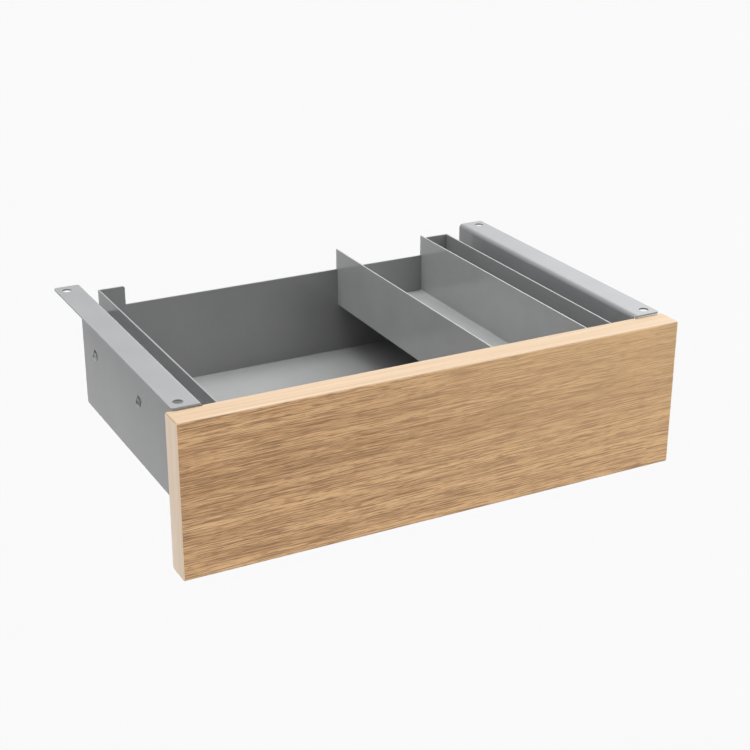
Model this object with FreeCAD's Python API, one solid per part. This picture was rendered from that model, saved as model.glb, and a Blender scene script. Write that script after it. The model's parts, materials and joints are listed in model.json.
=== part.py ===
import FreeCAD, Part
import os

# Under desk drawer: a steel drawer box with a wood-veneered front panel, hung from two folded
# steel brackets on ball bearing slides, with a small tray that slides across the top of the box.
#
# Millimetres. +X is to the right, +Y to the rear, +Z up. The origin is the centre of the four
# desk screw holes, on the plane where the bracket flanges meet the underside of the desk.
# Depth s is measured from a bracket's wall towards the drawer, across the 12.7 mm slide gap.

V = FreeCAD.Vector
X_AXIS = V(1, 0, 0)
Y_AXIS = V(0, 1, 0)
Z_AXIS = V(0, 0, 1)
TOLERANCE = 1e-4

# Front panel: a core board with a veneer on both faces and a band on each edge.
PANEL_WIDTH = 381.0
PANEL_HEIGHT = 110.8
PANEL_THICKNESS = 19.0
PANEL_TOP_Z = -2.1
PANEL_BACK_Y = -122.0
PANEL_EDGE_R = 1.3
PANEL_BACK_EDGE_R = 0.5
VENEER_T = 0.6
BAND_T = 0.8

# Brackets: folded steel, flange outwards.
BRACKET_T = 1.2
BRACKET_WALL_X = 165.45
BRACKET_FLANGE_X = 186.4
BRACKET_FRONT_Y = -123.5
BRACKET_REAR_Y = 124.0
BRACKET_WALL_FRONT_Y = -120.5
BRACKET_BOTTOM_Z = -96.6
BRACKET_BEND_R = 3.0
BRACKET_CORNER_R = 2.0
BRACKET_NOTCH_Z = -1.7
DESK_HOLE_X = 179.0
DESK_HOLE_Y = 115.0
DESK_HOLE_R = 3.5

# Drawer box: a folded pan closed by a front and a back plate.
SHEET_T = 1.2
BOX_HALF_WIDTH = 152.75
BOX_REAR_Y = 123.2
BOX_TOP_Z = -6.5
BOX_UNDERSIDE_Z = -93.6
BOX_BEND_R = 2.4
PLATE_CORNER_R = 1.5
RAIL_Z = -21.4
TAB_WIDTH = 20.85
TAB_CORNER_R = 1.8

# Tray: a folded channel that rides on the lowered tops of the front and back plates.
TRAY_T = 1.0
TRAY_LEFT_X = 49.1
TRAY_RIGHT_X = 128.6
TRAY_TOP_Z = -4.6
TRAY_UNDERSIDE_Z = -53.1
TRAY_BEND_R = 2.0
TRAY_FRONT_GAP = 3.4
TRAY_REAR_GAP = 0.3
EAR_FRONT_Y = -121.7
EAR_REAR_Y = 123.9
EAR_CLEARANCE = 0.02

# Ball bearing slides: 45 mm high members in the 12.7 mm gap.
SLIDE_GAP = 12.7
SLIDE_Z = -47.8
SLIDE_SHEET = 1.2
SLIDE_CORNER_R = 0.9
OUTER_HALF = 22.6
OUTER_LENGTH = (-120.5, 123.5)
OUTER_FLANGE_END = 9.9
OUTER_LIP = (9.0, 20.0)
MID_HALF = 18.4
MID_START = 3.6
MID_FLANGE_END = 10.2
MID_LENGTH = (-121.0, 119.5)
INNER_HALF = 14.2
INNER_FLANGE_START = 6.0
INNER_LENGTH = (-121.5, 119.5)
CAGE_T = 0.5
CAGE_HALF_LENGTH = 55.0
CAGE_CENTRE_Y = -0.5
OUTER_CAGE_START = 2.8
OUTER_CAGE_END = 8.6
INNER_CAGE_START = 5.1
INNER_CAGE_END = 10.2
BALL_R = 1.85
BALL_PLAY = 0.05
BALL_PITCH = 10.0
BALLS_PER_ROW = 11
OUTER_BALL = (6.2, 19.9)
INNER_BALL = (8.0, 15.7)
BUMPER_FRONT_Y = 119.8
BUMPER_END = 8.6
BUMPER_PEG_R = 2.0

# Release levers: a plastic lever on a rivet inside each inner slide member.
LEVER_Y = -45.0
LEVER_SPAN = (8.5, 11.2)
LEVER_HALF_LENGTH = 20.0
LEVER_HALF_HEIGHT = 4.0
LEVER_PAD_R = 5.5
LEVER_PAD_Y = -15.0
RIVET_R = 1.5
RIVET_PLAY = 0.08
RIVET_HEAD_R = 2.8
RIVET_HEAD_T = 0.8
RIVET_HEAD_S = 7.4

# Screws.
SLIDE_SCREW_YS = (-96.0, 0.0, 96.0)
SLIDE_SCREW_R = 2.0
SLIDE_SCREW_END = 2.4
SLIDE_HEAD_R = 4.2
SLIDE_HEAD_H = 1.7
DRAWER_SCREW_END = 8.4
DRAWER_HEAD_R = 3.8
DRAWER_HEAD_H = 1.6
HEAD_RIM = 0.35
PANEL_SCREW_R = 1.9
PANEL_SCREW_LENGTH = 14.0
PANEL_SCREW_XS = (-110.0, 110.0)
PANEL_SCREW_ZS = (-38.0, -80.0)
SCREW_PLAY = 0.05
ACCESS_SLOT_R = 4.5
ACCESS_SLOT_HALF = 5.0

# Sizes worked out from the ones above.
SIDES = {"left": -1, "right": 1}
PANEL_HALF = PANEL_WIDTH / 2
PANEL_BOTTOM_Z = PANEL_TOP_Z - PANEL_HEIGHT
PANEL_FRONT_Y = PANEL_BACK_Y - PANEL_THICKNESS
BOX_INNER_X = BOX_HALF_WIDTH - SHEET_T
BOX_FLOOR_Z = BOX_UNDERSIDE_Z + SHEET_T
FRONT_PLATE_Y = (PANEL_BACK_Y, PANEL_BACK_Y + SHEET_T)
BACK_PLATE_Y = (BOX_REAR_Y - SHEET_T, BOX_REAR_Y)


def box(xs, ys, zs):
    """Block between two values on each axis."""
    size = (xs[1] - xs[0], ys[1] - ys[0], zs[1] - zs[0])
    return Part.makeBox(*size, V(xs[0], ys[0], zs[0]))


def cylinder(radius, length, base, axis):
    """Round bar from a base point along an axis."""
    return Part.makeCylinder(radius, length, base, axis)


def edges_along(shape, axis, places):
    """Straight edges parallel to one axis (0, 1 or 2) that pass through the given places."""
    across = [i for i in range(3) if i != axis]
    found = []
    for edge in shape.Edges:
        ends = [vertex.Point for vertex in edge.Vertexes]
        for place in places:
            misses = [abs(end[across[k]] - place[k]) for end in ends for k in (0, 1)]
            if len(ends) == 2 and max(misses) < TOLERANCE:
                found.append(edge)
    return found


def round_along(shape, axis, places, radius):
    """Rounds the edges that run along one axis through the given places."""
    return shape.makeFillet(radius, edges_along(shape, axis, places))


def mirrored(shape, side):
    """A right-hand piece as it is, or its mirror image for the left."""
    if side == "right":
        return shape
    return shape.mirror(V(0, 0, 0), X_AXIS)


def at_depth(depth):
    """X of a depth s in the right-hand slide gap."""
    return BRACKET_WALL_X - depth


def slide_box(depths, ys, heights):
    """Block in the right-hand slide gap, with heights measured from the slide's centre."""
    xs = (at_depth(depths[1]), at_depth(depths[0]))
    zs = (SLIDE_Z + heights[0], SLIDE_Z + heights[1])
    return box(xs, ys, zs)


def slide_bar(radius, ys, depth, height):
    """Round bar along a slide, used to press ball grooves."""
    return cylinder(radius, ys[1] - ys[0], V(at_depth(depth), ys[0], SLIDE_Z + height), Y_AXIS)


def slide_hole(radius, depths, y, height=0.0):
    """Round bar across the right-hand slide gap."""
    base = V(at_depth(depths[1]), y, SLIDE_Z + height)
    return cylinder(radius, depths[1] - depths[0], base, X_AXIS)


# ---------------------------------------------------------------- screws

def pan_screw(base, direction, head_r, head_h, shank_r, length):
    """Cross recessed screw with a domed head. base is under the head, direction points to the tip."""
    crown = head_h - HEAD_RIM
    dome_r = (head_r ** 2 + crown ** 2) / (2 * crown)
    dome = Part.makeSphere(dome_r, V(0, 0, head_h - dome_r))
    head = cylinder(head_r, head_h, V(0, 0, 0), Z_AXIS).common(dome)
    arm = head_r * 0.52
    slot = head_r * 0.11
    depth = head_h * 0.8
    floor_z = head_h - depth
    cross = box((-arm, arm), (-slot, slot), (floor_z, head_h))
    cross = cross.fuse(box((-slot, slot), (-arm, arm), (floor_z, head_h)))
    cross = cross.common(Part.makeCone(slot, arm * 1.02, depth, V(0, 0, floor_z)))
    shank = cylinder(shank_r, length, V(0, 0, -length), Z_AXIS)
    tip_edges = [edge for edge in shank.Edges if abs(edge.BoundBox.ZMax + length) < TOLERANCE]
    shank = shank.makeChamfer(shank_r * 0.2, tip_edges)
    screw = head.cut(cross).fuse(shank).removeSplitter()
    screw.Placement = FreeCAD.Placement(base, FreeCAD.Rotation(V(0, 0, -1), direction))
    return screw


def bracket_screws():
    """Three screws through each bracket into its outer slide member, heads outside."""
    length = BRACKET_T + SLIDE_SCREW_END
    start = BRACKET_WALL_X + BRACKET_T
    screws = []
    for sign in SIDES.values():
        for y in SLIDE_SCREW_YS:
            base = V(sign * start, y, SLIDE_Z)
            inwards = V(-sign, 0, 0)
            screws.append(pan_screw(base, inwards, SLIDE_HEAD_R, SLIDE_HEAD_H, SLIDE_SCREW_R, length))
    return Part.makeCompound(screws)


def drawer_screws():
    """Three screws from inside the box through each side into the inner slide member."""
    length = SLIDE_GAP + SHEET_T - DRAWER_SCREW_END
    screws = []
    for sign in SIDES.values():
        for y in SLIDE_SCREW_YS:
            base = V(sign * BOX_INNER_X, y, SLIDE_Z)
            outwards = V(sign, 0, 0)
            screws.append(pan_screw(base, outwards, DRAWER_HEAD_R, DRAWER_HEAD_H, SLIDE_SCREW_R, length))
    return Part.makeCompound(screws)


def panel_screw_places():
    """Places of the screws that hold the front panel to the box."""
    return [(x, z) for x in PANEL_SCREW_XS for z in PANEL_SCREW_ZS]


def panel_screws():
    """Four screws from inside the box through the front plate into the panel."""
    screws = []
    for x, z in panel_screw_places():
        base = V(x, FRONT_PLATE_Y[1], z)
        forwards = V(0, -1, 0)
        screws.append(pan_screw(base, forwards, DRAWER_HEAD_R, DRAWER_HEAD_H, PANEL_SCREW_R, PANEL_SCREW_LENGTH))
    return Part.makeCompound(screws)


def drill_panel_screws(shape):
    """Cuts the four panel screw holes out of a piece."""
    for x, z in panel_screw_places():
        start = V(x, FRONT_PLATE_Y[1], z)
        shape = shape.cut(cylinder(PANEL_SCREW_R + SCREW_PLAY, PANEL_SCREW_LENGTH + 0.5, start, V(0, -1, 0)))
    return shape


# ---------------------------------------------------------------- brackets

def bracket(side):
    """Folded steel bracket: a flange under the desk and a wall that carries the slide."""
    ys = (BRACKET_FRONT_Y, BRACKET_REAR_Y)
    outer = box((BRACKET_WALL_X, BRACKET_FLANGE_X), ys, (BRACKET_BOTTOM_Z, 0))
    hollow_x = BRACKET_WALL_X + BRACKET_T
    hollow = box((hollow_x, BRACKET_FLANGE_X), ys, (BRACKET_BOTTOM_Z, -BRACKET_T))
    angle = outer.cut(hollow)
    angle = round_along(angle, 1, [(BRACKET_WALL_X, 0)], BRACKET_BEND_R)
    angle = round_along(angle, 1, [(hollow_x, -BRACKET_T)], BRACKET_BEND_R - BRACKET_T)
    flange_corners = [(BRACKET_FLANGE_X, ys[0]), (BRACKET_FLANGE_X, ys[1])]
    angle = round_along(angle, 2, flange_corners, BRACKET_CORNER_R)
    clear_of_panel = box((BRACKET_WALL_X - 1, hollow_x + BRACKET_BEND_R),
                         (ys[0] - 1, BRACKET_WALL_FRONT_Y),
                         (BRACKET_BOTTOM_Z - 1, BRACKET_NOTCH_Z))
    angle = angle.cut(clear_of_panel)
    wall_corners = [(BRACKET_WALL_FRONT_Y, BRACKET_BOTTOM_Z), (ys[1], BRACKET_BOTTOM_Z)]
    angle = round_along(angle, 0, wall_corners, BRACKET_CORNER_R)
    for y in (-DESK_HOLE_Y, DESK_HOLE_Y):
        angle = angle.cut(cylinder(DESK_HOLE_R, 4 * BRACKET_T, V(DESK_HOLE_X, y, -3 * BRACKET_T), Z_AXIS))
    for y in SLIDE_SCREW_YS:
        angle = angle.cut(slide_hole(SLIDE_SCREW_R + SCREW_PLAY, (-2 * BRACKET_T, BRACKET_T), y))
    return mirrored(angle, side)


# ---------------------------------------------------------------- slides

def channel(depths, web_depth, half, ys):
    """C shaped slide member. The web lies between web_depth and the nearer of the two depths."""
    web_first = web_depth - depths[0] < depths[1] - web_depth
    hollow_depths = (web_depth, depths[1]) if web_first else (depths[0], web_depth)
    back_depth = depths[0] if web_first else depths[1]
    inside = half - SLIDE_SHEET
    member = slide_box(depths, ys, (-half, half)).cut(slide_box(hollow_depths, ys, (-inside, inside)))
    corners = [(at_depth(back_depth), SLIDE_Z + z) for z in (-half, half)]
    return round_along(member, 1, corners, SLIDE_CORNER_R)


def press_grooves(member, ball, ys):
    """Presses the two ball grooves for one ring of balls into a member."""
    depth, height = ball
    for z in (-height, height):
        member = member.cut(slide_bar(BALL_R + BALL_PLAY, ys, depth, z))
    return member


def slide_outer(side):
    """Fixed slide member, screwed to the bracket, with lips that keep the balls in."""
    member = channel((0, OUTER_FLANGE_END), SLIDE_SHEET, OUTER_HALF, OUTER_LENGTH)
    lip_start, lip_height = OUTER_LIP
    inside = OUTER_HALF - SLIDE_SHEET
    for heights in ((-inside, -lip_height), (lip_height, inside)):
        member = member.fuse(slide_box((lip_start, OUTER_FLANGE_END), OUTER_LENGTH, heights))
    member = press_grooves(member.removeSplitter(), OUTER_BALL, OUTER_LENGTH)
    for y in SLIDE_SCREW_YS:
        member = member.cut(slide_hole(SLIDE_SCREW_R + SCREW_PLAY, (-1, SLIDE_SHEET + 1), y))
    peg_y = (BUMPER_FRONT_Y + OUTER_LENGTH[1]) / 2
    for z in (-OUTER_HALF / 2, OUTER_HALF / 2):
        member = member.cut(slide_hole(BUMPER_PEG_R / 2 + SCREW_PLAY, (-1, SLIDE_SHEET + 1), peg_y, z))
    return mirrored(member, side)


def slide_mid(side):
    """Middle slide member, which makes half of the drawer's travel."""
    member = channel((MID_START, MID_FLANGE_END), MID_START + SLIDE_SHEET, MID_HALF, MID_LENGTH)
    member = press_grooves(member, OUTER_BALL, MID_LENGTH)
    member = press_grooves(member, INNER_BALL, MID_LENGTH)
    for y in SLIDE_SCREW_YS:
        member = member.cut(access_slot(y))
    return mirrored(member, side)


def access_slot(y):
    """Slot in the middle member through which a screwdriver reaches the fixed one."""
    depths = (MID_START - 1, MID_START + SLIDE_SHEET + 1)
    slot = slide_box(depths, (y - ACCESS_SLOT_HALF, y + ACCESS_SLOT_HALF), (-ACCESS_SLOT_R, ACCESS_SLOT_R))
    for end in (-ACCESS_SLOT_HALF, ACCESS_SLOT_HALF):
        slot = slot.fuse(slide_hole(ACCESS_SLOT_R, depths, y + end))
    return slot.removeSplitter()


def slide_inner(side):
    """Moving slide member, screwed to the side of the drawer box."""
    web_depth = SLIDE_GAP - SLIDE_SHEET
    member = channel((INNER_FLANGE_START, SLIDE_GAP), web_depth, INNER_HALF, INNER_LENGTH)
    member = press_grooves(member, INNER_BALL, INNER_LENGTH)
    for y in SLIDE_SCREW_YS:
        member = member.cut(slide_hole(SLIDE_SCREW_R + SCREW_PLAY, (web_depth - 1, SLIDE_GAP + 1), y))
    member = member.cut(slide_hole(RIVET_R + SCREW_PLAY, (web_depth - 1, SLIDE_GAP + 1), LEVER_Y))
    return mirrored(member, side)


def ball_ys():
    """Positions of the balls along one row of a cage."""
    first = CAGE_CENTRE_Y - BALL_PITCH * (BALLS_PER_ROW - 1) / 2
    return [first + BALL_PITCH * i for i in range(BALLS_PER_ROW)]


def cage(side, ball, start, end):
    """Folded ball retainer, with a hole for each ball."""
    depth, height = ball
    ys = (CAGE_CENTRE_Y - CAGE_HALF_LENGTH, CAGE_CENTRE_Y + CAGE_HALF_LENGTH)
    outside = height + CAGE_T / 2
    inside = height - CAGE_T / 2
    retainer = slide_box((start, end), ys, (-outside, outside))
    retainer = retainer.cut(slide_box((start + CAGE_T, end), ys, (-inside, inside)))
    drill_length = 2 * (outside + 1)
    for y in ball_ys():
        base = V(at_depth(depth), y, SLIDE_Z - drill_length / 2)
        retainer = retainer.cut(cylinder(BALL_R + BALL_PLAY, drill_length, base, Z_AXIS))
    return mirrored(retainer, side)


def balls(side, ball):
    """The two rows of steel balls that one cage carries."""
    depth, height = ball
    places = [V(at_depth(depth), y, SLIDE_Z + z) for y in ball_ys() for z in (-height, height)]
    rows = Part.makeCompound([Part.makeSphere(BALL_R, place) for place in places])
    return mirrored(rows, side)


def slide_bumper(side):
    """Plastic stop at the rear of the fixed member, held by two pegs."""
    inside = OUTER_HALF - SLIDE_SHEET - 0.1
    ys = (BUMPER_FRONT_Y, OUTER_LENGTH[1])
    block = slide_box((SLIDE_SHEET, BUMPER_END), ys, (-inside, inside))
    block = round_along(block, 1, [(at_depth(BUMPER_END), SLIDE_Z + z) for z in (-inside, inside)], 1.0)
    peg_y = (ys[0] + ys[1]) / 2
    for z in (-OUTER_HALF / 2, OUTER_HALF / 2):
        block = block.fuse(slide_hole(BUMPER_PEG_R / 2, (0.1, SLIDE_SHEET + 1), peg_y, z))
    return mirrored(block.removeSplitter(), side)


def release_lever(side):
    """Plastic lever that frees the drawer from its slide when its pad is pushed."""
    ys = (LEVER_Y - LEVER_HALF_LENGTH, LEVER_Y + LEVER_HALF_LENGTH)
    bar_half = LEVER_HALF_HEIGHT / 2
    lever = slide_box(LEVER_SPAN, ys, (-bar_half, bar_half))
    lever = lever.fuse(slide_hole(LEVER_HALF_HEIGHT, LEVER_SPAN, LEVER_Y))
    lever = lever.fuse(slide_hole(LEVER_PAD_R, LEVER_SPAN, LEVER_Y + LEVER_PAD_Y, -1.0))
    hook_ys = (ys[1] - 4.0, ys[1])
    lever = lever.fuse(slide_box(LEVER_SPAN, hook_ys, (-bar_half, LEVER_HALF_HEIGHT + 1.0)))
    lever = lever.removeSplitter()
    lever = lever.cut(slide_hole(RIVET_R + RIVET_PLAY, (LEVER_SPAN[0] - 1, LEVER_SPAN[1] + 1), LEVER_Y))
    return mirrored(lever, side)


def lever_rivets():
    """The rivet that each release lever turns on."""
    rivet = slide_hole(RIVET_R, (RIVET_HEAD_S, SLIDE_GAP), LEVER_Y)
    rivet = rivet.fuse(slide_hole(RIVET_HEAD_R, (RIVET_HEAD_S, RIVET_HEAD_S + RIVET_HEAD_T), LEVER_Y))
    rivet = rivet.removeSplitter()
    return Part.makeCompound([mirrored(rivet, side) for side in SIDES])


# ---------------------------------------------------------------- drawer box

def drawer_pan():
    """Floor and both sides of the box, folded from one sheet."""
    ys = (FRONT_PLATE_Y[0], BOX_REAR_Y)
    pan = box((-BOX_HALF_WIDTH, BOX_HALF_WIDTH), ys, (BOX_UNDERSIDE_Z, BOX_TOP_Z))
    pan = pan.cut(box((-BOX_INNER_X, BOX_INNER_X), ys, (BOX_FLOOR_Z, BOX_TOP_Z)))
    outside = [(x, BOX_UNDERSIDE_Z) for x in (-BOX_HALF_WIDTH, BOX_HALF_WIDTH)]
    pan = round_along(pan, 1, outside, BOX_BEND_R)
    inside = [(x, BOX_FLOOR_Z) for x in (-BOX_INNER_X, BOX_INNER_X)]
    pan = round_along(pan, 1, inside, BOX_BEND_R - SHEET_T)
    for y in SLIDE_SCREW_YS:
        hole_start = V(-BOX_HALF_WIDTH - 1, y, SLIDE_Z)
        pan = pan.cut(cylinder(SLIDE_SCREW_R + SCREW_PLAY, 2 * BOX_HALF_WIDTH + 2, hole_start, X_AXIS))
    return pan


def end_plate(ys):
    """End of the box: low in the middle, where the tray rides, with a raised tab at each side."""
    plate = box((-BOX_INNER_X, BOX_INNER_X), ys, (BOX_FLOOR_Z, BOX_TOP_Z))
    tab_x = BOX_HALF_WIDTH - TAB_WIDTH
    plate = plate.cut(box((-tab_x, tab_x), ys, (RAIL_Z, BOX_TOP_Z)))
    plate = round_along(plate, 1, [(-tab_x, BOX_TOP_Z), (tab_x, BOX_TOP_Z)], TAB_CORNER_R)
    bottom_corners = [(-BOX_INNER_X, BOX_FLOOR_Z), (BOX_INNER_X, BOX_FLOOR_Z)]
    return round_along(plate, 1, bottom_corners, PLATE_CORNER_R)


def drawer_back():
    """Rear end of the box."""
    return end_plate(BACK_PLATE_Y)


def drawer_front_plate():
    """Front end of the box, against the back of the front panel."""
    return drill_panel_screws(end_plate(FRONT_PLATE_Y))


def tray():
    """Sliding tray: a channel whose walls hook over the front and back of the box."""
    xs = (TRAY_LEFT_X, TRAY_RIGHT_X)
    hollow_xs = (TRAY_LEFT_X + TRAY_T, TRAY_RIGHT_X - TRAY_T)
    ys = (EAR_FRONT_Y, EAR_REAR_Y)
    floor_z = TRAY_UNDERSIDE_Z + TRAY_T
    shell = box(xs, ys, (TRAY_UNDERSIDE_Z, TRAY_TOP_Z))
    shell = shell.cut(box(hollow_xs, ys, (floor_z, TRAY_TOP_Z)))
    shell = round_along(shell, 1, [(x, TRAY_UNDERSIDE_Z) for x in xs], TRAY_BEND_R)
    shell = round_along(shell, 1, [(x, floor_z) for x in hollow_xs], TRAY_BEND_R - TRAY_T)
    below_ear = (TRAY_UNDERSIDE_Z - 1, RAIL_Z + EAR_CLEARANCE)
    across = (TRAY_LEFT_X - 1, TRAY_RIGHT_X + 1)
    shell = shell.cut(box(across, (EAR_FRONT_Y - 1, FRONT_PLATE_Y[1] + TRAY_FRONT_GAP), below_ear))
    return shell.cut(box(across, (BACK_PLATE_Y[0] - TRAY_REAR_GAP, EAR_REAR_Y + 1), below_ear))


# ---------------------------------------------------------------- front panel

def panel_envelope():
    """The whole panel with its softened edges, from which its pieces are cut."""
    zs = (PANEL_BOTTOM_Z, PANEL_TOP_Z)
    envelope = box((-PANEL_HALF, PANEL_HALF), (PANEL_FRONT_Y, PANEL_BACK_Y), zs)
    at_back = lambda edge: edge.BoundBox.YMin > PANEL_BACK_Y - 0.01
    envelope = envelope.makeFillet(PANEL_EDGE_R, [edge for edge in envelope.Edges if not at_back(edge)])
    return envelope.makeFillet(PANEL_BACK_EDGE_R, [edge for edge in envelope.Edges if at_back(edge)])


def panel_core():
    """Board inside the veneers and bands."""
    xs = (-PANEL_HALF + BAND_T, PANEL_HALF - BAND_T)
    ys = (PANEL_FRONT_Y + VENEER_T, PANEL_BACK_Y - VENEER_T)
    zs = (PANEL_BOTTOM_Z + BAND_T, PANEL_TOP_Z - BAND_T)
    return drill_panel_screws(box(xs, ys, zs))


def from_envelope(xs, ys, zs):
    """Part of the panel between given planes, with the panel's softened edges."""
    return panel_envelope().common(box(xs, ys, zs))


def veneer(ys):
    """Face veneer inside the four edge bands."""
    xs = (-PANEL_HALF + BAND_T, PANEL_HALF - BAND_T)
    zs = (PANEL_BOTTOM_Z + BAND_T, PANEL_TOP_Z - BAND_T)
    return from_envelope(xs, ys, zs)


def front_veneer():
    """Veneer on the face of the panel."""
    return veneer((PANEL_FRONT_Y, PANEL_FRONT_Y + VENEER_T))


def back_veneer():
    """Veneer on the rear of the panel, against the box."""
    return drill_panel_screws(veneer((PANEL_BACK_Y - VENEER_T, PANEL_BACK_Y)))


def edge_band(xs, zs):
    """Edge band across the full thickness of the panel."""
    return from_envelope(xs, (PANEL_FRONT_Y, PANEL_BACK_Y), zs)


def panel_pieces():
    """Every piece of the front panel, by node name. The long bands cover the short ones' ends."""
    full_width = (-PANEL_HALF, PANEL_HALF)
    between = (PANEL_BOTTOM_Z + BAND_T, PANEL_TOP_Z - BAND_T)
    return {
        "panel_core": panel_core(),
        "front_veneer": front_veneer(),
        "back_veneer": back_veneer(),
        "edge_band_top": edge_band(full_width, (PANEL_TOP_Z - BAND_T, PANEL_TOP_Z)),
        "edge_band_bottom": edge_band(full_width, (PANEL_BOTTOM_Z, PANEL_BOTTOM_Z + BAND_T)),
        "edge_band_left": edge_band((-PANEL_HALF, -PANEL_HALF + BAND_T), between),
        "edge_band_right": edge_band((PANEL_HALF - BAND_T, PANEL_HALF), between),
    }


# ---------------------------------------------------------------- assembly

def side_pieces(side):
    """Every piece of one side's bracket and slide, by node name."""
    return {
        f"bracket_{side}": bracket(side),
        f"slide_outer_{side}": slide_outer(side),
        f"slide_mid_{side}": slide_mid(side),
        f"slide_inner_{side}": slide_inner(side),
        f"cage_outer_{side}": cage(side, OUTER_BALL, OUTER_CAGE_START, OUTER_CAGE_END),
        f"cage_inner_{side}": cage(side, INNER_BALL, INNER_CAGE_START, INNER_CAGE_END),
        f"balls_outer_{side}": balls(side, OUTER_BALL),
        f"balls_inner_{side}": balls(side, INNER_BALL),
        f"slide_bumper_{side}": slide_bumper(side),
        f"release_lever_{side}": release_lever(side),
    }


def all_pieces():
    """Every node of the drawer, by name."""
    pieces = {}
    for side in SIDES:
        pieces.update(side_pieces(side))
    pieces.update(panel_pieces())
    pieces["bracket_screws"] = bracket_screws()
    pieces["drawer_screws"] = drawer_screws()
    pieces["panel_screws"] = panel_screws()
    pieces["lever_rivets"] = lever_rivets()
    pieces["drawer_pan"] = drawer_pan()
    pieces["drawer_back"] = drawer_back()
    pieces["drawer_front_plate"] = drawer_front_plate()
    pieces["tray"] = tray()
    return pieces


os.makedirs("parts", exist_ok=True)
for name, shape in all_pieces().items():
    if not shape.isValid():
        raise ValueError(f"{name} is not a valid shape")
    shape.exportStep(f"parts/{name}.step")
    print(f"{name}: {len(shape.Solids)} solids, {shape.Volume:.1f} mm3")
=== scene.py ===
import bpy
import json
import math
from mathutils import Matrix, Vector


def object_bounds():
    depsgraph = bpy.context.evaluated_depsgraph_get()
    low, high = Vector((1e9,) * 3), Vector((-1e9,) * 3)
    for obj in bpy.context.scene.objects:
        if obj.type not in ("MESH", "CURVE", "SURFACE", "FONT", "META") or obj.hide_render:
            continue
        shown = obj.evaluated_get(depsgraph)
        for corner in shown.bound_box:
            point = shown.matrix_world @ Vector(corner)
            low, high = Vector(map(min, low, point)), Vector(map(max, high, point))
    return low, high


# Looks of the under desk drawer, in metres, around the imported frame. +X is to the right along the
# front panel, +Y to the rear, +Z up into the desk. The bracket flanges' top is z = 0.
# Every piece is a CAD node that keeps its shape and gets a procedural material here.

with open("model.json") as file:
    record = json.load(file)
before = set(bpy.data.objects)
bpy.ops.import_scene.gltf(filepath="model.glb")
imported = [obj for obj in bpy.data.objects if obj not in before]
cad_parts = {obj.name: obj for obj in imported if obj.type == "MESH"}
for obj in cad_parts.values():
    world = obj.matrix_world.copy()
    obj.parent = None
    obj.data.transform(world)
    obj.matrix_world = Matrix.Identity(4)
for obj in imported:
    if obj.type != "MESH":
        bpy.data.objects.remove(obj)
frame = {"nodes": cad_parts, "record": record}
nodes = frame["nodes"]
cad_low, cad_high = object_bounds()


# ---------------------------------------------------------------- camera, light and floor

CAMERA_PLACE = Vector((-0.4793, -0.9529, 0.3910))
CAMERA_AZIMUTH = math.radians(-27.662)
CAMERA_ELEVATION = math.radians(22.915)
CAMERA_ROLL = math.radians(0.139)
CAMERA_LENS_MM = 74.189
SENSOR_MM = 36.0

# The floor lies well below the hanging drawer. Its tone makes it come out near white under the
# studio, and it grows a little darker far to the left, along a line that leans with Y.
FLOOR_DROP = 1.1
FLOOR_RADIUS = 90.0
FLOOR_TONE = 0.3679
FLOOR_SHADE = 0.263
FLOOR_SHADE_START = -0.60
FLOOR_SHADE_END = -1.80
FLOOR_SHADE_LEAN = 0.14

# The studio is lit evenly from all round. From just over the horizon down it glows like the floor,
# so that no dark strip shows behind the floor. Start and end are sines of an elevation.
STUDIO_EVEN = 0.09
HORIZON_GLOW = 0.956
HORIZON_START = 0.02
HORIZON_END = 0.10

# Large soft boxes far away: direction, degrees from its middle to where it starts to fade and to
# where it ends, and brightness.
STUDIO_BOXES = [
    ((0.0, 0.0, 1.0), 5.0, 31.0, 6.7),
    ((-0.45, 0.0, 0.9), 5.0, 34.0, 3.1),
    ((0.6, 0.0, 0.8), 10.0, 38.0, 3.7),
    ((1.0, 0.12, 0.35), 15.0, 60.0, 2.0),
    ((-1.0, 0.0, 0.3), 15.0, 50.0, 0.5),
    ((0.2, -1.0, 0.5), 10.0, 45.0, 0.5),
]


def add_camera():
    """Long lens camera from the front left, a little above the drawer."""
    data = bpy.data.cameras.new("camera")
    data.sensor_width = SENSOR_MM
    data.lens = CAMERA_LENS_MM
    camera = bpy.data.objects.new("camera", data)
    bpy.context.scene.collection.objects.link(camera)
    forward = Vector((
        -math.sin(CAMERA_AZIMUTH) * math.cos(CAMERA_ELEVATION),
        math.cos(CAMERA_AZIMUTH) * math.cos(CAMERA_ELEVATION),
        -math.sin(CAMERA_ELEVATION),
    ))
    aim = forward.to_track_quat("-Z", "Y").to_matrix().to_4x4()
    roll = Matrix.Rotation(CAMERA_ROLL, 4, "Z")
    camera.matrix_world = Matrix.Translation(CAMERA_PLACE) @ aim @ roll
    bpy.context.scene.camera = camera


def soft_box(tree, direction, aim, full, end, brightness):
    """Light of one soft box: all of it within full degrees of its aim, none from end degrees on."""
    along = add_node(tree, "VectorMath", {0: direction, 1: Vector(aim).normalized()},
                     operation="DOT_PRODUCT")
    edge = math.cos(math.radians(end))
    middle = math.cos(math.radians(full))
    return remap(tree, along.outputs["Value"], edge, middle, 0.0, brightness, soft=True)


def add_studio():
    """Even light from all round, a pale horizon, and large soft boxes."""
    world = bpy.data.worlds.new("studio")
    world.use_nodes = True
    tree = world.node_tree
    background = tree.nodes["Background"]
    direction = add_node(tree, "TexCoord").outputs["Generated"]
    height = add_node(tree, "SeparateXYZ", {0: direction}).outputs["Z"]
    total = remap(tree, height, HORIZON_START, HORIZON_END, HORIZON_GLOW, STUDIO_EVEN, soft=True)
    for aim, full, end, brightness in STUDIO_BOXES:
        box = soft_box(tree, direction, aim, full, end, brightness)
        total = combine(tree, "ADD", total, box)
    tree.links.new(total, background.inputs["Color"])
    bpy.context.scene.world = world


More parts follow.
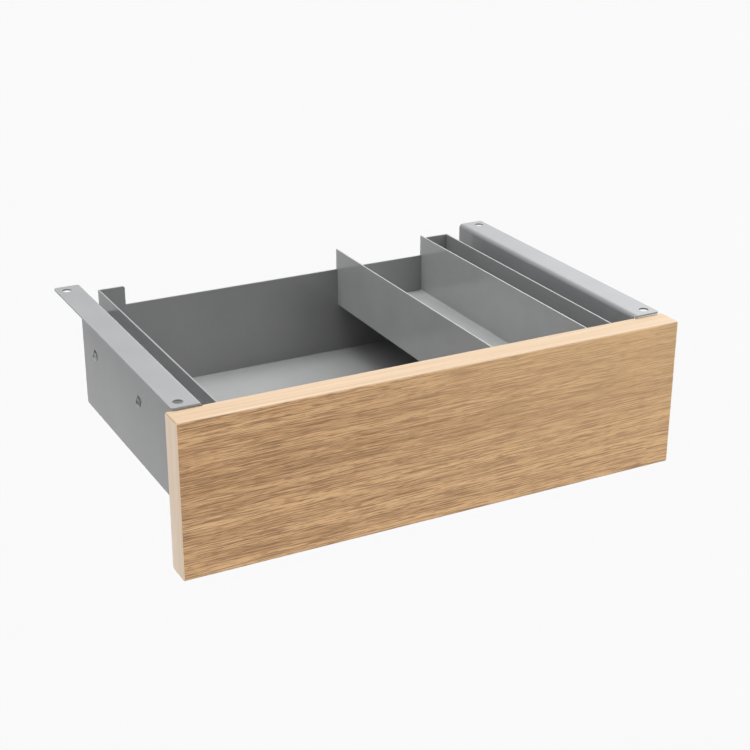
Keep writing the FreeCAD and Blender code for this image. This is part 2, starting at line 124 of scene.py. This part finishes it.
def add_floor():
    """Wide pale floor, well below the hanging drawer."""
    z = cad_low.z - FLOOR_DROP
    corners = [(-FLOOR_RADIUS, -FLOOR_RADIUS, z), (FLOOR_RADIUS, -FLOOR_RADIUS, z),
               (FLOOR_RADIUS, FLOOR_RADIUS, z), (-FLOOR_RADIUS, FLOOR_RADIUS, z)]
    mesh = bpy.data.meshes.new("floor")
    mesh.from_pydata(corners, [], [(0, 1, 2, 3)])
    floor = bpy.data.objects.new("floor", mesh)
    bpy.context.scene.collection.objects.link(floor)
    material, tree, shader = new_material("floor_paper")
    spot = add_node(tree, "SeparateXYZ", {0: object_space(tree)})
    lean = combine(tree, "MULTIPLY", spot.outputs["Y"], FLOOR_SHADE_LEAN)
    across = combine(tree, "SUBTRACT", spot.outputs["X"], lean)
    tone = remap(tree, across, FLOOR_SHADE_END, FLOOR_SHADE_START, FLOOR_SHADE, FLOOR_TONE, soft=True)
    tree.links.new(tone, shader.inputs["Base Color"])
    shader.inputs["Roughness"].default_value = 1.0
    shader.inputs["Specular IOR Level"].default_value = 0.0
    mesh.materials.append(material)


# ---------------------------------------------------------------- material tools

def new_material(name):
    """New material, its node tree and its main shader."""
    material = bpy.data.materials.new(name)
    material.use_nodes = True
    tree = material.node_tree
    return material, tree, tree.nodes["Principled BSDF"]


def add_node(tree, kind, inputs=None, **settings):
    """Node of a kind, with values or other nodes' outputs in its inputs."""
    node = tree.nodes.new("ShaderNode" + kind)
    for name, value in settings.items():
        setattr(node, name, value)
    for socket, value in (inputs or {}).items():
        if isinstance(value, bpy.types.NodeSocket):
            tree.links.new(value, node.inputs[socket])
        else:
            node.inputs[socket].default_value = value
    return node


def object_space(tree):
    """Place in the object's own space, which for a CAD node is the frame, in metres."""
    return add_node(tree, "TexCoord").outputs["Object"]


def stretched(tree, space, per_metre, shift=(0.0, 0.0, 0.0)):
    """Space with its own number of units per metre along each axis."""
    node = add_node(tree, "VectorMath", {0: space, 1: per_metre, 2: shift}, operation="MULTIPLY_ADD")
    return node.outputs[0]


def noise(tree, space, per_metre, detail=2.0, rough=0.5, shift=(0.0, 0.0, 0.0), distort=0.0):
    """Soft noise from 0 to 1 with a given number of lumps per metre along each axis."""
    if not isinstance(per_metre, tuple):
        per_metre = (per_metre, per_metre, per_metre)
    inputs = {
        "Vector": stretched(tree, space, per_metre, shift),
        "Scale": 1.0,
        "Detail": detail,
        "Roughness": rough,
        "Distortion": distort,
    }
    return add_node(tree, "TexNoise", inputs).outputs[0]


def remap(tree, value, low, high, to_low=0.0, to_high=1.0, soft=False):
    """Value between low and high, moved to between to_low and to_high and held there."""
    inputs = {"Value": value, "From Min": low, "From Max": high, "To Min": to_low, "To Max": to_high}
    kind = "SMOOTHSTEP" if soft else "LINEAR"
    return add_node(tree, "MapRange", inputs, interpolation_type=kind, clamp=True).outputs[0]


def blend(tree, amount, first, second):
    """Two colours mixed by an amount that comes from a node."""
    node = add_node(tree, "Mix", {0: amount}, data_type="RGBA")
    for socket, color in ((6, first), (7, second)):
        if isinstance(color, bpy.types.NodeSocket):
            tree.links.new(color, node.inputs[socket])
        else:
            node.inputs[socket].default_value = (*color, 1.0)
    return node.outputs[2]


def combine(tree, operation, first, second):
    """Two numbers added, multiplied or otherwise combined."""
    return add_node(tree, "Math", {0: first, 1: second}, operation=operation).outputs[0]


def bump(tree, height, depth, below=None):
    """Surface relief of a depth in metres, on top of other relief."""
    inputs = {"Height": height, "Distance": depth, "Strength": 1.0}
    if below:
        inputs["Normal"] = below
    return add_node(tree, "Bump", inputs).outputs[0]


def finish_shader(tree, shader, color, roughness, normal):
    """Colour, roughness and relief, put into the main shader."""
    tree.links.new(color, shader.inputs["Base Color"])
    tree.links.new(roughness, shader.inputs["Roughness"])
    tree.links.new(normal, shader.inputs["Normal"])


def scaled(color, times):
    """Colour made brighter or darker."""
    return tuple(times * part for part in color)


# ---------------------------------------------------------------- materials
# Tones are linear colours, and depths of relief are in metres. In each material, the noises come
# first, then the colour built up from them, and then roughness and relief.

BRACKET_TONE = (0.221, 0.225, 0.229)
BOX_TONE = (0.228, 0.230, 0.231)
TRAY_TONE = (0.290, 0.296, 0.295)
COAT_CLOUD_DARK = 0.96
COAT_CLOUD_LIGHT = 1.04
COAT_SPECK = 0.90
COAT_PEEL_DEPTH = 0.0000030
COAT_GRAIN_DEPTH = 0.0000006


def powder_coat(name, seed, tone):
    """Satin grey powder coat: faint orange peel, cloudy gloss and a few specks."""
    material, tree, shader = new_material(name)
    space = object_space(tree)
    shift = (seed, seed * 1.7, seed * 0.6)
    clouds = noise(tree, space, per_metre=28, detail=3, rough=0.55, shift=shift)
    grain = noise(tree, space, per_metre=2600, detail=1, shift=shift)
    smears = noise(tree, space, per_metre=(60, 14, 60), detail=4, rough=0.6, shift=shift, distort=0.4)
    peel = noise(tree, space, per_metre=620, detail=2, rough=0.45, shift=shift)

    dark = scaled(tone, COAT_CLOUD_DARK)
    light = scaled(tone, COAT_CLOUD_LIGHT)
    color = blend(tree, remap(tree, clouds, 0.3, 0.7), dark, light)
    specks = remap(tree, grain, 0.35, 0.65, 0.0, 0.35)
    color = blend(tree, specks, color, scaled(tone, COAT_SPECK))

    roughness = remap(tree, smears, 0.3, 0.7, 0.09, 0.15)
    relief = bump(tree, peel, COAT_PEEL_DEPTH)
    relief = bump(tree, grain, COAT_GRAIN_DEPTH, relief)
    finish_shader(tree, shader, color, roughness, relief)
    return material


OAK_LIGHT = (0.680, 0.416, 0.202)
OAK_MID = (0.482, 0.276, 0.122)
OAK_PINK = (0.459, 0.243, 0.115)
OAK_RING = (0.347, 0.179, 0.073)
OAK_PORE = (0.178, 0.079, 0.030)
OAK_GLEAM = (0.712, 0.452, 0.231)
# Tone of the painted light toward the top right of the veneer.
OAK_PAINTED_HIGHLIGHT = (0.712, 0.479, 0.240)

# The grain leaves its straight line by these heights, in slow waves and in quick ones.
OAK_WANDER = 0.0045
OAK_WOBBLE = 0.0007

# How strongly each kind of mark covers the tones under it.
OAK_PINK_COVER = 0.45
OAK_RING_COVER = 0.26
OAK_GLEAM_COVER = 0.60
OAK_STROKE_COVER = 0.68
OAK_PORE_COVER = 0.60
OAK_FIBRE_COVER = 0.22

# Painted light: the veneer is painted paler toward the right and the top, where more light falls on the
# panel, between these places along X and Z.
OAK_PAINTED_LIGHT_X = (-0.16, 0.17)
OAK_PAINTED_LIGHT_Z = (-0.11, -0.01)
OAK_PAINTED_LIGHT_AT_FOOT = 0.25
OAK_PAINTED_LIGHT_COVER = 0.42

OAK_PORE_DEPTH = 0.00004
OAK_FIBRE_DEPTH = 0.000010


def oak_grain_space(tree, place, shift):
    """Place moved up and down, so that lines drawn in it wander as grain does."""
    slow = noise(tree, place, per_metre=(3, 1, 12), detail=1, shift=shift)
    quick = noise(tree, place, per_metre=(45, 1, 160), detail=1, shift=shift)
    wander = remap(tree, slow, 0.0, 1.0, -OAK_WANDER, OAK_WANDER)
    wobble = remap(tree, quick, 0.0, 1.0, -OAK_WOBBLE, OAK_WOBBLE)
    lift = add_node(tree, "CombineXYZ", {"Z": combine(tree, "ADD", wander, wobble)}).outputs[0]
    return add_node(tree, "VectorMath", {0: place, 1: lift}, operation="ADD").outputs[0]


def oak_painted_light_amount(tree, place):
    """How much painted light makes the veneer paler at a place."""
    spot = add_node(tree, "SeparateXYZ", {0: place})
    rightward = remap(tree, spot.outputs["X"], *OAK_PAINTED_LIGHT_X, soft=True)
    upward = remap(tree, spot.outputs["Z"], *OAK_PAINTED_LIGHT_Z, OAK_PAINTED_LIGHT_AT_FOOT, 1.0)
    return combine(tree, "MULTIPLY", combine(tree, "MULTIPLY", rightward, upward), OAK_PAINTED_LIGHT_COVER)


def oak_veneer(name, seed):
    """Oak veneer with its grain along X: tone bands, fine rings, short dark strokes and fibres, with
    painted light making it paler toward the top right.
    """
    material, tree, shader = new_material(name)
    place = object_space(tree)
    shift = (seed, 0.0, seed * 2.3)
    pink_shift = (seed + 4.0, 0.0, 7.0)
    gleam_shift = (seed + 9.0, 0.0, 2.0)
    space = oak_grain_space(tree, place, shift)
    bands = noise(tree, place, per_metre=(0.4, 1, 58), detail=0, shift=shift)
    pink = noise(tree, place, per_metre=(1.2, 1, 90), detail=1, shift=pink_shift)
    rings = noise(tree, space, per_metre=(3.5, 1, 520), detail=2, rough=0.6, shift=shift)
    strokes = noise(tree, space, per_metre=(28, 1, 1300), detail=1, rough=0.6, shift=shift)
    pores = noise(tree, space, per_metre=(100, 1, 1900), detail=1, shift=shift)
    gleams = noise(tree, space, per_metre=(24, 1, 1400), detail=1, rough=0.6, shift=gleam_shift)
    fibres = noise(tree, space, per_metre=(180, 1, 3600), detail=1, shift=shift)
    stroke_mask = remap(tree, strokes, 0.50, 0.60, soft=True)
    crowd = remap(tree, rings, 0.35, 0.65, -0.03, 0.04)
    pore_mask = remap(tree, combine(tree, "ADD", pores, crowd), 0.55, 0.66, soft=True)

    color = blend(tree, remap(tree, bands, 0.42, 0.58), OAK_MID, OAK_LIGHT)
    color = blend(tree, remap(tree, pink, 0.52, 0.70, 0.0, OAK_PINK_COVER), color, OAK_PINK)
    color = blend(tree, remap(tree, rings, 0.42, 0.66, 0.0, OAK_RING_COVER, soft=True), color, OAK_RING)
    color = blend(tree, remap(tree, gleams, 0.50, 0.60, 0.0, OAK_GLEAM_COVER, soft=True), color, OAK_GLEAM)
    color = blend(tree, combine(tree, "MULTIPLY", stroke_mask, OAK_STROKE_COVER), color, OAK_PORE)
    color = blend(tree, combine(tree, "MULTIPLY", pore_mask, OAK_PORE_COVER), color, OAK_PORE)
    color = blend(tree, remap(tree, fibres, 0.35, 0.65, 0.0, OAK_FIBRE_COVER), color, OAK_RING)
    # Painted light: paler toward the right and the top.
    color = blend(tree, oak_painted_light_amount(tree, place), color, OAK_PAINTED_HIGHLIGHT)

    roughness = remap(tree, pore_mask, 0.0, 1.0, 0.42, 0.60)
    relief = bump(tree, remap(tree, pore_mask, 0.0, 1.0, 1.0, 0.0), OAK_PORE_DEPTH)
    relief = bump(tree, fibres, OAK_FIBRE_DEPTH, relief)
    finish_shader(tree, shader, color, roughness, relief)
    return material


# The end bands are painted paler than the top and bottom ones, as painted light from the sides: the left
# end band most, and the right one, hidden at first sight, with a share of its tone.
BAND_PALE = (0.375, 0.283, 0.195)
BAND_WARM = (0.326, 0.233, 0.149)
END_PAINTED_LIGHT_PALE = (0.766, 0.618, 0.479)
END_PAINTED_LIGHT_WARM = (0.679, 0.523, 0.383)
RIGHT_END_LIGHT_SHARE = 0.62
BAND_FIBRE = 0.84
BAND_FIBRE_DEPTH = 0.000012


def oak_band(name, seed, along, pale, warm):
    """Pale oak edge band with long fine grain along X or Z."""
    material, tree, shader = new_material(name)
    space = object_space(tree)
    shift = (seed, seed * 0.7, seed * 1.9)
    streak = (7, 420, 420)
    fine = (16, 900, 900)
    if along == "Z":
        streak = streak[::-1]
        fine = fine[::-1]
    streaks = noise(tree, space, per_metre=streak, detail=3, rough=0.6, shift=shift)
    fibres = noise(tree, space, per_metre=fine, detail=2, rough=0.6, shift=shift)

    color = blend(tree, remap(tree, streaks, 0.38, 0.68), pale, warm)
    color = blend(tree, remap(tree, fibres, 0.5, 0.8, 0.0, 0.35), color, scaled(warm, BAND_FIBRE))

    roughness = remap(tree, fibres, 0.3, 0.7, 0.42, 0.56)
    finish_shader(tree, shader, color, roughness, bump(tree, fibres, BAND_FIBRE_DEPTH))
    return material


CHIP_PALE = (0.60, 0.44, 0.28)
CHIP_DARK = (0.36, 0.23, 0.13)
CHIP_DUST = (0.48, 0.34, 0.21)
CHIPS_PER_METRE = (420, 420, 900)
CHIP_DEPTH = 0.00012


def particle_board(name, seed):
    """Pressed wood chips in a few browns."""
    material, tree, shader = new_material(name)
    space = object_space(tree)
    grid = stretched(tree, space, CHIPS_PER_METRE)
    cells = add_node(tree, "TexVoronoi", {"Vector": grid, "Scale": 1.0})
    chip = add_node(tree, "SeparateColor", {0: cells.outputs["Color"]}).outputs[0]
    dust = noise(tree, space, per_metre=1800, detail=2, rough=0.6, shift=(seed, seed, seed))

    color = blend(tree, chip, CHIP_PALE, CHIP_DARK)
    color = blend(tree, remap(tree, dust, 0.4, 0.7, 0.0, 0.5), color, CHIP_DUST)

    roughness = remap(tree, dust, 0.3, 0.7, 0.75, 0.92)
    finish_shader(tree, shader, color, roughness, bump(tree, cells.outputs["Distance"], CHIP_DEPTH))
    return material


ZINC_DARK = (0.66, 0.67, 0.68)
ZINC_LIGHT = (0.75, 0.76, 0.78)
STEEL_DARK = (0.42, 0.42, 0.42)
STEEL_LIGHT = (0.58, 0.57, 0.56)
SCREW_DARK = (0.24, 0.245, 0.25)
SCREW_LIGHT = (0.46, 0.47, 0.485)
METAL_LINE = 0.8
METAL_LINE_DEPTH = 0.000002

# Lines per metre along each axis: rolled along Y, or the same all round on a small screw.
ROLLED = (900, 18, 900)
ALL_ROUND = (500, 500, 500)


def brushed_metal(name, seed, dark, light, smooth, rough, run=ROLLED):
    """Plated or rolled steel with fine lines along its length and cloudy patches."""
    material, tree, shader = new_material(name)
    space = object_space(tree)
    shift = (seed, seed * 1.3, seed * 0.4)
    lines = noise(tree, space, per_metre=run, detail=3, rough=0.6, shift=shift)
    clouds = noise(tree, space, per_metre=55, detail=3, rough=0.6, shift=shift)

    color = blend(tree, remap(tree, clouds, 0.35, 0.65), dark, light)
    color = blend(tree, remap(tree, lines, 0.4, 0.7, 0.0, 0.25), color, scaled(dark, METAL_LINE))

    roughness = remap(tree, combine(tree, "MULTIPLY", lines, clouds), 0.12, 0.40, smooth, rough)
    shader.inputs["Metallic"].default_value = 1.0
    finish_shader(tree, shader, color, roughness, bump(tree, lines, METAL_LINE_DEPTH))
    return material


BALL_TONE = (0.80, 0.80, 0.82)
GREASE_TONE = (0.66, 0.60, 0.47)
GREASE_DEPTH = 0.000004


def greased_balls(name, seed):
    """Polished balls with smears of clear grease."""
    material, tree, shader = new_material(name)
    space = object_space(tree)
    smears = noise(tree, space, per_metre=420, detail=3, rough=0.6, shift=(seed, seed, seed))
    color = blend(tree, remap(tree, smears, 0.45, 0.65), BALL_TONE, GREASE_TONE)
    roughness = remap(tree, smears, 0.4, 0.7, 0.05, 0.24)
    shader.inputs["Metallic"].default_value = 1.0
    finish_shader(tree, shader, color, roughness, bump(tree, smears, GREASE_DEPTH))
    return material


PLASTIC_DARK = (0.018, 0.018, 0.019)
PLASTIC_RUBBED = (0.034, 0.034, 0.035)
SPARK_DEPTH = 0.000010


def moulded_plastic(name, seed):
    """Black moulded plastic with a fine spark texture."""
    material, tree, shader = new_material(name)
    space = object_space(tree)
    shift = (seed, seed, seed)
    sparks = noise(tree, space, per_metre=2400, detail=2, rough=0.6, shift=shift)
    rubbed = noise(tree, space, per_metre=90, detail=3, rough=0.6, shift=shift)
    color = blend(tree, remap(tree, rubbed, 0.4, 0.7), PLASTIC_DARK, PLASTIC_RUBBED)
    roughness = remap(tree, rubbed, 0.3, 0.7, 0.38, 0.58)
    finish_shader(tree, shader, color, roughness, bump(tree, sparks, SPARK_DEPTH))
    return material


# ---------------------------------------------------------------- which piece gets which

SLOT_MATERIALS = {
    "oak_face": oak_veneer("oak_face_finish", 3.1),
    "oak_edge": oak_band("oak_edge_finish", 1.7, "X", BAND_PALE, BAND_WARM),
    "board": particle_board("board_finish", 2.2),
    "bracket_coat": powder_coat("bracket_coat_finish", 1.0, BRACKET_TONE),
    "box_coat": powder_coat("box_coat_finish", 5.0, BOX_TONE),
    "tray_coat": powder_coat("tray_coat_finish", 9.0, TRAY_TONE),
    "zinc": brushed_metal("zinc_finish", 0.8, ZINC_DARK, ZINC_LIGHT, 0.30, 0.38),
    "cage_steel": brushed_metal("cage_steel_finish", 4.2, STEEL_DARK, STEEL_LIGHT, 0.32, 0.50),
    "ball_steel": greased_balls("ball_steel_finish", 0.3),
    "screw_zinc": brushed_metal("screw_zinc_finish", 6.4, SCREW_DARK, SCREW_LIGHT, 0.20, 0.36, ALL_ROUND),
    "black_plastic": moulded_plastic("black_plastic_finish", 2.9),
}

# The panel's end bands differ from the top and bottom ones in their grain, along Z, and in a paler tone,
# which is painted light.
NODE_MATERIALS = {
    "edge_band_left": oak_band("oak_left_end_painted_light_finish", 8.3, "Z", END_PAINTED_LIGHT_PALE, END_PAINTED_LIGHT_WARM),
    "edge_band_right": oak_band("oak_right_end_painted_light_finish", 5.6, "Z",
                                scaled(END_PAINTED_LIGHT_PALE, RIGHT_END_LIGHT_SHARE), scaled(END_PAINTED_LIGHT_WARM, RIGHT_END_LIGHT_SHARE)),
}


def dress_nodes():
    """Each CAD node in its own material, or else in its material slot's."""
    for part in frame["record"]["subparts"]:
        node = part["node"]
        nodes[node].data.materials[0] = NODE_MATERIALS.get(node, SLOT_MATERIALS[part["material_slot"]])


bpy.context.scene.view_settings.view_transform = "Standard"
dress_nodes()
add_camera()
add_studio()
add_floor()
